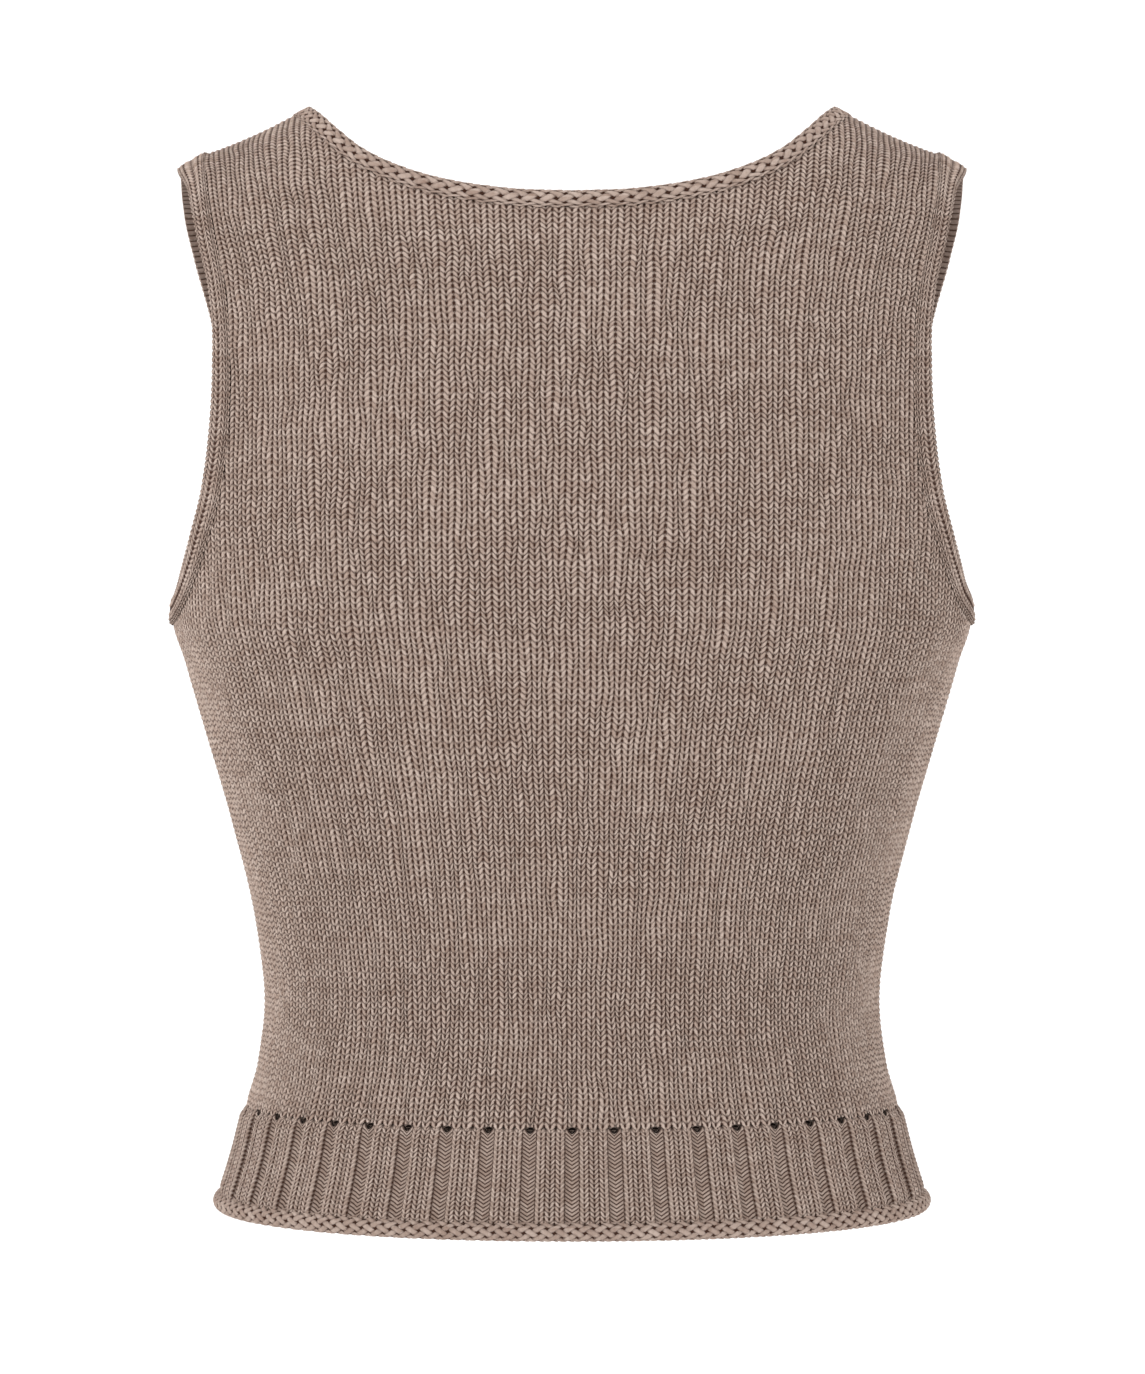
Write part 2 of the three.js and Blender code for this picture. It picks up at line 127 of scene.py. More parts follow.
# angle of the section at each share q of its length, for a ladder of levels
LADDER = np.linspace(-470, 16, 244)
SHARE = np.linspace(0, 1, 241)


def _angles(side):
    out = np.empty((len(LADDER), len(SHARE)))
    th = np.linspace(0, math.pi / 2, 600)
    for k, z in enumerate(LADDER):
        a, b, e = float(half_width(z)), float(depth[side](z)), 2 / float(power(z))
        x, y = a * np.sin(th) ** e, b * np.maximum(np.cos(th), 0) ** e
        s = np.concatenate([[0], np.cumsum(np.hypot(np.diff(x), np.diff(y)))])
        out[k] = np.interp(SHARE, s / s[-1], th)
    return out


ANGLES = {s: _angles(s) for s in (1, -1)}


def angle(side, q, z):
    q, z = np.broadcast_arrays(np.clip(np.abs(q), 0, 1), z)
    f = np.clip((z - LADDER[0]) / (LADDER[1] - LADDER[0]), 0, len(LADDER) - 1.001)
    g = np.clip(q * (len(SHARE) - 1), 0, len(SHARE) - 1.001)
    i, j = f.astype(int), g.astype(int)
    u, v = f - i, g - j
    t = ANGLES[side]
    return (t[i, j] * (1 - u) * (1 - v) + t[i + 1, j] * u * (1 - v) + t[i, j + 1] * (1 - u) * v + t[i + 1, j + 1] * u * v)


def q_of_x(side, x, z):
    """Share of the section's half length at which it reaches |x|."""
    a, e = half_width(z), 2 / power(z)
    th = np.arcsin(np.minimum(np.abs(x) / a, 1) ** (1 / e))
    z = np.broadcast_to(z, th.shape)
    out = np.empty(th.shape)
    for idx in np.ndindex(th.shape):
        f = (z[idx] - LADDER[0]) / (LADDER[1] - LADDER[0])
        i = int(min(max(f, 0), len(LADDER) - 1.001))
        row = ANGLES[side][i] * (1 - (f - i)) + ANGLES[side][i + 1] * (f - i)
        out[idx] = np.interp(th[idx], row, SHARE)
    return out


def fold_depth(side, q, z):
    d = np.zeros(np.broadcast(q, z).shape)
    for s, q0, z0, dq, dz, lean, deep in FOLDS:
        if s == side:
            d = d + deep * np.exp(-((q - q0 - lean * (z - z0)) / dq) ** 2 - ((z - z0) / dz) ** 2)
    return d


def form(side, q, z):
    """Point of the cloth's outer face, in millimetres, for q across (-1 to 1) and height z."""
    q, z = np.broadcast_arrays(np.asarray(q, float), np.asarray(z, float))
    th, e = angle(side, q, z), 2 / power(z)
    k = fold_depth(side, q, z) * np.minimum(1, 6 * (1 - np.abs(q)))
    x = np.sign(q) * (half_width(z) + k) * np.sin(th) ** e
    y = (depth[side](z) + k) * np.maximum(np.cos(th), 0) ** e
    top, drop = shoulder_z(np.abs(x)), shoulder_drop(np.abs(x))
    c = np.clip((z - (top - drop)) / drop, 0, 1)
    return np.stack([x, side * y * np.sqrt(1 - c * c), z], -1)


def _implicit(side, p):
    x, y, z = np.abs(p[..., 0]), p[..., 1] * side, p[..., 2]
    n = power(z)
    top, drop = shoulder_z(x), shoulder_drop(x)
    c = np.maximum((z - (top - drop)) / drop, 0)
    room = np.sign(1 - c * c) * np.abs(1 - c * c) ** (n / 2)
    return room * ((x / half_width(z)) ** n - 1) + np.sign(y) * (np.abs(y) / depth[side](z)) ** n


def normal(side, p):
    """Outward direction of the form at points on it."""
    g = np.empty(p.shape)
    for k in range(3):
        e = np.zeros(3)
        e[k] = 0.4
        g[..., k] = _implicit(side, p + e) - _implicit(side, p - e)
    edge = np.abs(p[..., 1]) < 0.6
    g[..., 1] = np.where(edge, 0, g[..., 1])
    return g / np.maximum(np.linalg.norm(g, axis=-1, keepdims=True), 1e-12)


rng = np.random.default_rng(20)


def smooth_noise(shape, grain, seed):
    """Soft noise from -1 to 1 on a grid, with grains of the given size in cells."""
    r = np.random.default_rng(seed)
    gy, gx = max(2, int(shape[0] / grain[0]) + 3), max(2, int(shape[1] / grain[1]) + 3)
    g = r.uniform(-1, 1, (gy, gx))
    yy, xx = np.arange(shape[0]) / grain[0], np.arange(shape[1]) / grain[1]
    i, j = yy.astype(int), xx.astype(int)
    u, v = yy - i, xx - j
    u, v = (u * u * (3 - 2 * u))[:, None], (v * v * (3 - 2 * v))[None, :]
    a = g[np.ix_(i, j)]
    b = g[np.ix_(i, j + 1)]
    c = g[np.ix_(i + 1, j)]
    d = g[np.ix_(i + 1, j + 1)]
    return a * (1 - u) * (1 - v) + b * (1 - u) * v + c * u * (1 - v) + d * u * v


# ---------------------------------------------------------------- meshes
def make_mesh(name, pts_mm, tris, knit_uv, bake_uv, smooth=True):
    """pts in millimetres (n, 3), triangles (m, 3), uv per vertex or per triangle corner."""
    me = bpy.data.meshes.new(name)
    n, m = len(pts_mm), len(tris)
    me.vertices.add(n)
    me.vertices.foreach_set("co", (np.asarray(pts_mm) / 1000).astype(np.float32).ravel())
    me.loops.add(m * 3)
    me.loops.foreach_set("vertex_index", np.asarray(tris, np.int32).ravel())
    me.polygons.add(m)
    me.polygons.foreach_set("loop_start", np.arange(0, m * 3, 3, dtype=np.int32))
    me.polygons.foreach_set("loop_total", np.full(m, 3, np.int32))
    me.update(calc_edges=True)
    for label, uv in (("Knit", knit_uv), ("OFBake", bake_uv)):
        layer = me.uv_layers.new(name=label)
        uv = np.asarray(uv, np.float32)
        layer.data.foreach_set("uv", (uv if len(uv) == 3 * m else uv[np.asarray(tris).ravel()]).ravel())
    me.polygons.foreach_set("use_smooth", np.full(m, smooth))
    me.validate()
    ob = bpy.data.objects.new(name, me)
    scene.collection.objects.link(ob)
    return ob


def strip(a, b):
    """Triangles between a column with one vertex a course (a: n) and one with two (b: 2n - 1 or more)."""
    n = len(a) - 1
    j = np.arange(n)
    return np.concatenate([
        np.stack([a[j], b[2 * j], b[2 * j + 1]], -1),
        np.stack([a[j], b[2 * j + 1], a[j + 1]], -1),
        np.stack([a[j + 1], b[2 * j + 1], b[2 * j + 2]], -1)])


def too_long(p, tris, limit):
    a, b, c = p[tris[:, 0]], p[tris[:, 1]], p[tris[:, 2]]
    long_ = np.maximum.reduce([np.linalg.norm(a - b, axis=1), np.linalg.norm(b - c, axis=1), np.linalg.norm(c - a, axis=1)]) > limit
    # the fan of triangles round the neck point is kept
    neck_point = (np.minimum.reduce([a[:, 2], b[:, 2], c[:, 2]]) > -26) & (np.abs(a[:, 0]) < 148)
    return long_ & ~neck_point


def column_lengths(side, q_cols, z_top, g_of_z):
    """For each column: heights and arc lengths from the rib top to the column's own top."""
    out = []
    for q, zt in zip(q_cols, z_top):
        z = np.unique(np.concatenate([np.arange(Z_RIB_TOP, max(zt - 1e-6, Z_RIB_TOP + 1), 3.0), [zt]]))
        # finer where the cloth turns over the shoulder
        if zt > -110:
            t = np.linspace(0, math.pi / 2, 140)
            base = max(Z_RIB_TOP, -140.0)
            z = np.unique(np.concatenate([z[z < base], base + (zt - base) * np.sin(t)]))
        p = form(side, q * g_of_z(z), z)
        s = np.concatenate([[0], np.cumsum(np.linalg.norm(np.diff(p, axis=0), axis=1))])
        out.append((z, s))
    return out


def panel(side, name):
    # wales run straight up to the narrowest level of the armhole, then fan out to the shoulder
    zz = ARMHOLE[:, 0]
    qe = q_of_x(side, np.minimum(arm_edge[side](zz) + 1.6 * np.clip((zz + 217) / 12, 0, 1), half_width(zz)), zz)
    qe[0] = 1.0
    q_edge = reader(np.stack([zz, qe], -1), 1)
    z_fine = np.linspace(-217, -20, 400)
    k_min = int(np.argmin(q_edge(z_fine)))
    z_min, q_min = float(z_fine[k_min]), float(q_edge(z_fine[k_min]))

    def g(z):
        return np.where(z > z_min, q_edge(np.clip(z, z_min, Z_TIP)) / q_min, 1.0)
    q_tip = float(q_edge(Z_TIP))

    # columns: centre of a wale, leg, edge of the wale, leg, ...
    half = int(WALES)
    w = np.arange(-half * 4, half * 4 + 1) / 4.0
    q_cols = w / WALES
    z_top = np.empty(len(w))
    low = z_fine[:k_min + 1]
    for k, q in enumerate(np.abs(q_cols)):
        if q >= q_min:
            z_top[k] = np.interp(-q, -q_edge(low), low)
            continue
        z = -20.0
        for _ in range(80):
            x = abs(float(form(side, q * float(g(z)), z)[0]))
            goal = float(neck_edge[side](min(x, X_NECK))) + 1.4 * min(1, (X_NECK - x) / 8) if x < X_NECK else float(shoulder_z(x))
            goal = min(goal, float(shoulder_z(x)))
            z += 0.35 * (goal - z)
        z_top[k] = z
    z_top = np.maximum(z_top, Z_UNDERARM)
    table = column_lengths(side, q_cols, z_top, g)
    s_top = np.array([t[1][-1] for t in table])
    courses = int(math.ceil(s_top.max() / COURSE)) + 2

    rise = RISE     # courses that a leg climbs between the middle and the edge of its wale
    jit_c = smooth_noise((courses + 2, len(w)), (3.0, 5.0), 11 + side) * 0.28 + smooth_noise((courses + 2, len(w)), (12.0, 30.0), 31 + side) * 0.26
    jit_w = smooth_noise((courses + 2, len(w)), (5.0, 4.0), 51 + side) * 0.17 + smooth_noise((courses + 2, len(w)), (26.0, 4.0), 71 + side) * 0.07
    pts, uvk, uvb, cols, outside = [], [], [], [], []
    count = 0
    for k, wk in enumerate(w):
        kind = k % 4            # 0 centre (columns start on a centre), 2 edge, 1 and 3 legs
        if kind in (1, 3):
            c = np.arange(0, 2 * courses - 1) / 2.0
            shift = rise / 2
        else:
            c = np.arange(0, courses, dtype=float)
            shift = 0.0 if kind == 0 else rise
        ci = np.clip(c.astype(int), 0, courses)
        wob = jit_c[ci, k] * np.clip(c / 3, 0, 1)
        s = np.maximum(c + shift + wob - rise / 2, 0.0) * COURSE
        dw = abs((wk + 2) % 4 - 2) * 4.2
        s = s + 2.0 * max(0.0, 1 - dw / 2.0) * np.clip(1 - s / 7.0, 0, 1)
        over = s >= s_top[k] - 1e-9
        s = np.minimum(s, s_top[k])
        zs, ss = table[k]
        z = np.interp(s, ss, zs)
        side_room = 1.0 if 0 < k < len(w) - 1 else 0.0
        # the wale over each eyelet is drawn in
        near = (wk + 2) % 4 - 2
        drawn = -0.20 * near * math.exp(-(near / 0.8) ** 2) * np.clip(1.15 - s / 26, 0, 1)
        calm = np.clip((s_top[k] - s) / 26, 0, 1) ** 2 if z_top[k] > -60 else 1.0
        q = (wk + (jit_w[ci, k] * calm + drawn) * side_room * (~over)) / WALES * g(z)
        p = form(side, q, z)
        if kind == 0:
            h = np.full(len(c), -0.44)
        elif kind == 2:
            h = np.full(len(c), -0.62)
        else:
            h = np.where(np.arange(len(c)) % 2 == 1, 0.62, 0.24)
        h = h * np.clip((s_top[k] - s) / 28, 0.5, 1) * np.clip(1 - 0.4 * over, 0, 1) * np.clip(0.35 + s / 4.0, 0, 1)
        p = p + normal(side, p) * h[:, None]
        if k in (0, len(w) - 1):
            p[:, 1] = -0.3 * side
        pts.append(p)
        cc = s / COURSE + rise / 2
        uvk.append(np.stack([np.full(len(c), wk + 100.0), cc - wob], -1))
        uvb.append(np.stack([np.full(len(c), 0.01 + 0.98 * (wk + WALES) / (2 * WALES)), 0.01 + 0.77 * s / (courses * COURSE)], -1))
        outside.append(over)
        cols.append(np.arange(count, count + len(c)))
        count += len(c)
    tris = []
    for k in range(len(w) - 1):
        a, b = (k, k + 1) if k % 2 == 0 else (k + 1, k)
        t = strip(cols[a], cols[b])
        # outward: on the back panel +x to the right of the viewer is reversed
        flip = (a > b) ^ (side > 0)
        tris.append(t[:, ::-1] if flip else t)
    tris = np.concatenate(tris)
    out = np.concatenate(outside)
    tris = tris[~out[tris].all(axis=1)]
    tris = tris[~too_long(np.concatenate(pts), tris, 7.0)]
    n_outer = count

    # the reverse side: purl bumps, one vertex a half wale and a course
    inner_cols = []
    for k in range(0, len(w), 2):
        c = np.arange(0, courses + 1, 2, dtype=float)
        s = c * COURSE
        over = s >= s_top[k] - 1e-9
        s = np.minimum(s, s_top[k])
        zs, ss = table[k]
        z = np.interp(s, ss, zs)
        q = w[k] / WALES * g(z)
        p = form(side, q, z)
        nn = normal(side, p)
        p = p - nn * 2.0
        if k in (0, len(w) - 1):
            p[:, 1] = -0.3 * side
        else:
            p[:, 1] = np.where(side * p[:, 1] < 0.02, 0.02 * side, p[:, 1])
        pts.append(p)
        uvk.append(np.stack([np.full(len(c), w[k] + 400.0), c], -1))
        uvb.append(np.stack([np.full(len(c), 0.01 + 0.98 * (w[k] + WALES) / (2 * WALES)), 0.80 + 0.19 * s / (courses * COURSE)], -1))
        outside.append(over)
        inner_cols.append(np.arange(count, count + len(c)))
        count += len(c)
    inner = []
    for a, b in zip(inner_cols[:-1], inner_cols[1:]):
        j = np.arange(len(a) - 1)
        t = np.concatenate([np.stack([a[j], b[j], b[j + 1]], -1), np.stack([a[j], b[j + 1], a[j + 1]], -1)])
        inner.append(t if side > 0 else t[:, ::-1])
    inner = np.concatenate(inner)
    out = np.concatenate(outside)
    inner = inner[~out[inner].all(axis=1)]
    inner = inner[~too_long(np.concatenate(pts), inner, 9.0)]
    ob = make_mesh(name, np.concatenate(pts), np.concatenate([tris, inner]), np.concatenate(uvk), np.concatenate(uvb))
    return ob, n_outer


# ---------------------------------------------------------------- ribs
def rib(side, name):
    per, rows_per = 20, 3
    courses = RIB_COURSES
    repeats = 22
    n_c, n_r = repeats * per + 1, courses * rows_per + 1
    f = np.arange(n_c) / per                       # repeats from one side seam
    v = np.arange(n_r) / rows_per                  # courses from the bottom
    F, V = np.meshgrid(f, v)
    q = F / (repeats / 2) - 1
    z = Z_RIB_BOTTOM - 2.2 + (Z_RIB_TOP - Z_RIB_BOTTOM + 2.2) * V / courses
    loc = (F + 0.5) % 1.0 - 0.5                    # 0 in the middle of a purl wale
    purl_half = 0.160
    t = np.clip((np.abs(loc) - purl_half + 0.01) / 0.045, -1, 1)
    plateau = 0.5 + 0.5 * np.sin(t * math.pi / 2)
    across = np.clip((np.abs(loc) - purl_half) / (0.5 - purl_half), 0, 1)
    base = -1.3 + 2.5 * plateau + 0.45 * np.sin(across * math.pi) ** 0.6 * plateau
    # wales of the knit part: three, and the purl part as one fine chevron
    wale = np.where(np.abs(loc) < purl_half, loc / purl_half * 0.5, np.sign(loc) * (0.5 + 1.5 * across))
    xi = np.abs((wale + 0.5) % 1.0 - 0.5) * 2
    purl = 1 - plateau
    c_leg = V - RISE * xi + smooth_noise(V.shape, (7, 9), 5 + side) * 0.15
    strand = np.abs(np.sin(math.pi * c_leg))
    ends = (2 * xi - 1) ** 2
    knit_h = 0.5 * strand ** 0.7 * (1 - 0.35 * ends) - 0.7 * ends
    purl_h = 0.3 * np.abs(np.sin(math.pi * (V - 0.65 * np.abs(loc) / purl_half))) - 0.25
    h = base + knit_h * plateau + purl_h * purl
    fade = np.clip((V) / 1.5, 0, 1)
    h = h * (0.55 + 0.45 * fade)
    h = h * (1 - 0.85 * np.clip((V - courses + 2.2) / 2.2, 0, 1))
    # the eyelet: the cloth parts under each purl wale's top
    d = np.abs(loc) * 16.8
    top = np.clip((V - (courses - 3)) / 3, 0, 1)
    open_ = np.clip(1 - d / 2.0, 0, 1)
    # the top row is tucked up behind the panel's lower edge
    plain_z = z
    tucked = np.zeros(F.shape)
    tucked[-1] = 1
    h = h * (1 - tucked) - 1.0 * tucked
    z = z - 1.15 * open_ * top + 1.1 * tucked * (1 - open_)
    p = form(side, q, z)
    nrm = normal(side, p)
    ends_mask = np.zeros(F.shape, bool)
    ends_mask[:, 0] = ends_mask[:, -1] = True
    outer = p + nrm * h[..., None]
    outer[ends_mask, 1] = -0.3 * side
    inner_h = base * 0.85 - 2.2
    whole = form(side, q, plain_z)
    inner = whole + normal(side, whole) * inner_h[..., None]
    inner[..., 1] = np.where(side * inner[..., 1] < 0.02, 0.02 * side, inner[..., 1])
    inner[ends_mask, 1] = -0.3 * side
    uv_o = np.stack([wale + 4 * np.floor(F + 0.5) + 200, V], -1)
    uv_i = np.stack([F * 4 + 400.0, V], -1)
    # bake map: four strips of the face, four thinner ones of the reverse side
    def strip_map(ids, low, tall):
        fi = np.array([x % n_c for x in (ids % (n_c * n_r)).ravel()]).reshape(ids.shape)
        ri = (ids % (n_c * n_r)) // n_c
        lot = np.minimum(fi.min(axis=1) * 4 // (n_c - 1), 3)[:, None]
        return np.stack([0.01 + 0.98 * (fi * 4 / (n_c - 1) - lot), low + tall * (lot + 0.03 + 0.94 * ri / (n_r - 1))], -1)
    idx = np.arange(n_c * n_r).reshape(n_r, n_c)
    a, b, c, e = idx[:-1, :-1].ravel(), idx[:-1, 1:].ravel(), idx[1:, 1:].ravel(), idx[1:, :-1].ravel()
    t_o = np.concatenate([np.stack([a, b, c], -1), np.stack([a, c, e], -1)])
    ii = idx[::3, :]
    off = n_c * n_r
    a, b, c, e = ii[:-1, :-1].ravel(), ii[:-1, 1:].ravel(), ii[1:, 1:].ravel(), ii[1:, :-1].ravel()
    t_i = np.concatenate([np.stack([a, b, c], -1), np.stack([a, c, e], -1)]) + off
    # rims at the eyelet row and at the bottom
    def rim(row, up):
        r = idx[row]
        tri = np.concatenate([np.stack([r[:-1], r[1:], r[1:] + off], -1), np.stack([r[:-1], r[1:] + off, r[:-1] + off], -1)])
        return tri if up else tri[:, ::-1]
    ob_pts = np.concatenate([outer.reshape(-1, 3), inner.reshape(-1, 3)])
    if side > 0:
        t_o = t_o[:, ::-1]
    else:
        t_i = t_i[:, ::-1]
    tr = rim(-1, side < 0)
    br = rim(0, side > 0)
    uvk = np.concatenate([uv_o.reshape(-1, 2), uv_i.reshape(-1, 2)])
    uvb = np.concatenate([strip_map(t_o, 0.0, 0.17), strip_map(t_i, 0.70, 0.06), strip_map(tr, 0.945, 0.006), strip_map(br, 0.971, 0.006)])
    return make_mesh(name, ob_pts, np.concatenate([t_o, t_i, tr, br]), uvk, uvb.reshape(-1, 2))


# ---------------------------------------------------------------- closed lines
def resample(p, count, closed=True):
    q = np.vstack([p, p[:1]]) if closed else p
    s = np.concatenate([[0], np.cumsum(np.linalg.norm(np.diff(q, axis=0), axis=1))])
    t = np.linspace(0, s[-1], count, endpoint=not closed)
    return np.stack([np.interp(t, s, q[:, k]) for k in range(3)], -1), s[-1]


def blur(a, n, passes=2):
    for _ in range(passes):
        acc = np.zeros_like(a)
        for k in range(-n, n + 1):
            acc += np.roll(a, k, axis=0)
        a = acc / (2 * n + 1)
    return a


def frames(line, side_of, towards):
    """Tangent, direction across the band (away from the panel) and outward normal along a closed line."""
    n = np.where((side_of > 0)[:, None], normal(1, line), normal(-1, line))
    n = blur(n, 4)
    t = blur(np.roll(line, -1, 0) - np.roll(line, 1, 0), 3)
    t /= np.linalg.norm(t, axis=1, keepdims=True)
    d = np.cross(t, n)
    d /= np.linalg.norm(d, axis=1, keepdims=True)
    flip = np.sum(d * (towards - line), axis=1) < 0
    d[flip] *= -1
    o = np.cross(d, t)
    o /= np.linalg.norm(o, axis=1, keepdims=True)
    flip = np.sum(o * n, axis=1) < 0
    o[flip] *= -1
    return t, d, o


def neck_line(count):
    pts = []
    for side in (1, -1):
        x = X_NECK * np.sin(np.linspace(-math.pi / 2, math.pi / 2, 700)) if side > 0 else X_NECK * np.sin(np.linspace(math.pi / 2, -math.pi / 2, 700))
        z = neck_edge[side](np.abs(x))
        q = np.sign(x) * q_of_x(side, np.abs(x), z)
        p = form(side, q, z)
        p[[0, -1], 1] = 0
        pts.append(p[:-1])
    return resample(np.vstack(pts), count)


def arm_line(sx, count):
    pts = []
    for side in (1, -1):
        t = np.linspace(0, 1, 500)
        z = np.where(t < 0.3, Z_UNDERARM + 20 * (t / 0.3) ** 2, 0)
        rest = t >= 0.3
        z[rest] = -197 + (Z_TIP + 197) * np.sin((t[rest] - 0.3) / 0.7 * math.pi / 2)
        z = np.sort(z)
        q = q_of_x(side, arm_edge[side](z), z)
        q[0] = 1.0
        p = form(side, sx * q, z)
        p[[0, -1], 1] = 0
        pts.append(p[:-1] if side > 0 else p[::-1][:-1])
    return resample(np.vstack(pts), count)


def band(name, line, d, o, t, section, relief, uv_off, pitch, length, wide=None, high=None):
    """A band along a closed line. section: (d, o) points round it in order, the first `face` ones being its face;
    relief(u, v) gives the lift of the face, u across 0..1, v along in stitches."""
    n, m = len(line), len(section)
    sec = np.array([[a, b] for a, b, _ in section])
    us = np.array([c for _, _, c in section])
    nd, no = np.gradient(sec[:, 0]), np.gradient(sec[:, 1])
    ln = np.hypot(nd, no)
    out_d, out_o = -no / ln, nd / ln
    area = np.sum(sec[:, 0] * np.roll(sec[:, 1], -1) - np.roll(sec[:, 0], -1) * sec[:, 1])
    if area > 0:
        out_d, out_o = -out_d, -out_o
    v = np.arange(n) / n * length / pitch
    lift, along = relief(us[None, :], v[:, None])
    lift = np.broadcast_to(lift, (n, m)) * (us >= 0)[None, :]
    wide = np.ones(n) if wide is None else wide
    high = np.ones(n) if high is None else high
    across = np.minimum(sec[:, 0], 0) + np.maximum(sec[:, 0], 0) * wide[:, None]
    rise = np.minimum(sec[:, 1], 0) + np.maximum(sec[:, 1], 0) * high[:, None]
    P = (line[:, None, :] + d[:, None, :] * (across + lift * out_d)[..., None] + o[:, None, :] * (rise + lift * out_o)[..., None])
    V = np.broadcast_to(v[:, None], (n, m))
    U = np.broadcast_to(np.abs(us)[None, :], (n, m))
    uvk = np.stack([U + uv_off, V], -1)
    # one seam column and row are doubled so that the maps close
    Pc = np.concatenate([P, P[:, :1]], 1)
    Pc = np.concatenate([Pc, Pc[:1]], 0)
    Vc = np.concatenate([V, V[:, :1]], 1)
    Vc = np.concatenate([Vc, np.full((1, m + 1), length / pitch)], 0)
    Uc = np.concatenate([U, U[:, :1]], 1)
    Uc = np.concatenate([Uc, Uc[:1]], 0)
    idx = np.arange((n + 1) * (m + 1)).reshape(n + 1, m + 1)
    a, b, c, e = idx[:-1, :-1].ravel(), idx[:-1, 1:].ravel(), idx[1:, 1:].ravel(), idx[1:, :-1].ravel()
    tris = np.concatenate([np.stack([a, b, c], -1), np.stack([a, c, e], -1)])
    pts = Pc.reshape(-1, 3)
    vol = np.sum(np.einsum("ij,ij->i", pts[tris[:, 0]], np.cross(pts[tris[:, 1]], pts[tris[:, 2]])))
    if vol < 0:
        tris = tris[:, ::-1]
    # bake map: the band cut into strips, one above the other
    rows = 6
    i, j = tris // (m + 1), tris % (m + 1)
    lot = np.minimum(i.min(axis=1) * rows // n, rows - 1)[:, None]
    ub = np.stack([0.01 + 0.98 * (i * rows / n - lot), (lot + 0.03 + 0.94 * j / m) / rows], -1)
    knit = np.stack([Uc + uv_off, Vc], -1).reshape(-1, 2)[tris]
    knit[..., 0] += 300.0 * (np.tile(np.append(us, us[0]) < 0, n + 1)[tris].any(axis=1))[:, None]
    return make_mesh(name, pts, tris, knit.reshape(-1, 2), ub.reshape(-1, 2))


def round_section(width, lift, sink, face_n, start=0.0, tuck=0.0, rest=0.5):
    """Section of a flat band: its face runs from start to start + width with softly rounded edges, then the back."""
    pts = []
    for k in range(face_n):
        u = k / (face_n - 1)
        a = math.pi * (1 - u)
        x = start + width * (0.5 + 0.5 * math.copysign(abs(math.cos(a)) ** 0.75, math.cos(a)))
        y = lift * math.sin(a) ** 0.6 - (tuck * u * u) + rest * (1 - u)
        pts.append((x, y, u))
    back_n = max(5, face_n // 3)
    for k in range(1, back_n):
        u = 1 - k / back_n
        x = start + width * (0.04 + 0.92 * u)
        pts.append((x, -sink * math.sin(math.pi * min(max(u, 0.08), 0.92)) ** 0.35 - tuck * u * u, -u - 1e-6))
    return pts


# ---------------------------------------------------------------- materials
def new_material(name):
    m = bpy.data.materials.new(name)
    m.use_nodes = True
    nt = m.node_tree
    nt.nodes.clear()
    return m, nt


class Graph:
    def __init__(self, nt):
        self.nt = nt

    def node(self, kind, **props):
        n = self.nt.nodes.new(kind)
        for k, v in props.items():
            setattr(n, k, v)
        return n

    def put(self, socket, value):
        if isinstance(value, bpy.types.NodeSocket):
            self.nt.links.new(value, socket)
        else:
            socket.default_value = value

    def math(self, op, a, b=0.0, c=0.0, clamp=False):
        n = self.node("ShaderNodeMath", operation=op, use_clamp=clamp)
        self.put(n.inputs[0], a)
        self.put(n.inputs[1], b)
        self.put(n.inputs[2], c)
        return n.outputs[0]

    def ramp(self, x, lo, hi, a=0.0, b=1.0, smooth=True):
        n = self.node("ShaderNodeMapRange", interpolation_type="SMOOTHSTEP" if smooth else "LINEAR")
        n.clamp = True
        self.put(n.inputs["Value"], x)
        self.put(n.inputs["From Min"], lo)
        self.put(n.inputs["From Max"], hi)
        self.put(n.inputs["To Min"], a)
        self.put(n.inputs["To Max"], b)
        return n.outputs["Result"]

    def mix(self, f, a, b):
        n = self.node("ShaderNodeMix", data_type="RGBA")
        self.put(n.inputs["Factor"], f)
        self.put(n.inputs["A"], a)
        self.put(n.inputs["B"], b)
        return n.outputs["Result"]

    def noise(self, vec, scale, detail=2.0, rough=0.5):
        n = self.node("ShaderNodeTexNoise", noise_dimensions="3D")
        self.put(n.inputs["Vector"], vec)
        n.inputs["Scale"].default_value = scale
        n.inputs["Detail"].default_value = detail
        n.inputs["Roughness"].default_value = rough
        return n.outputs["Fac"]

    def combine(self, x, y, z=0.0):
        n = self.node("ShaderNodeCombineXYZ")
        self.put(n.inputs[0], x)
        self.put(n.inputs[1], y)
        self.put(n.inputs[2], z)
        return n.outputs[0]


def srgb(r, g, b):
    def f(c):
        c /= 255
        return c / 12.92 if c <= 0.04045 else ((c + 0.055) / 1.055) ** 2.4
    return (f(r), f(g), f(b), 1.0)


CHAIN_TURNS, ROLL_TURNS = 3.2, 5.0      # strands that cross the width of the trim
# the first colour is painted shade for the gaps, the holes and the inside; the other two are the yarn's own range of
# tones
PAINTED_SHADE, MID, LIGHT = srgb(51, 24, 11), srgb(151, 126, 112), srgb(215, 196, 184)


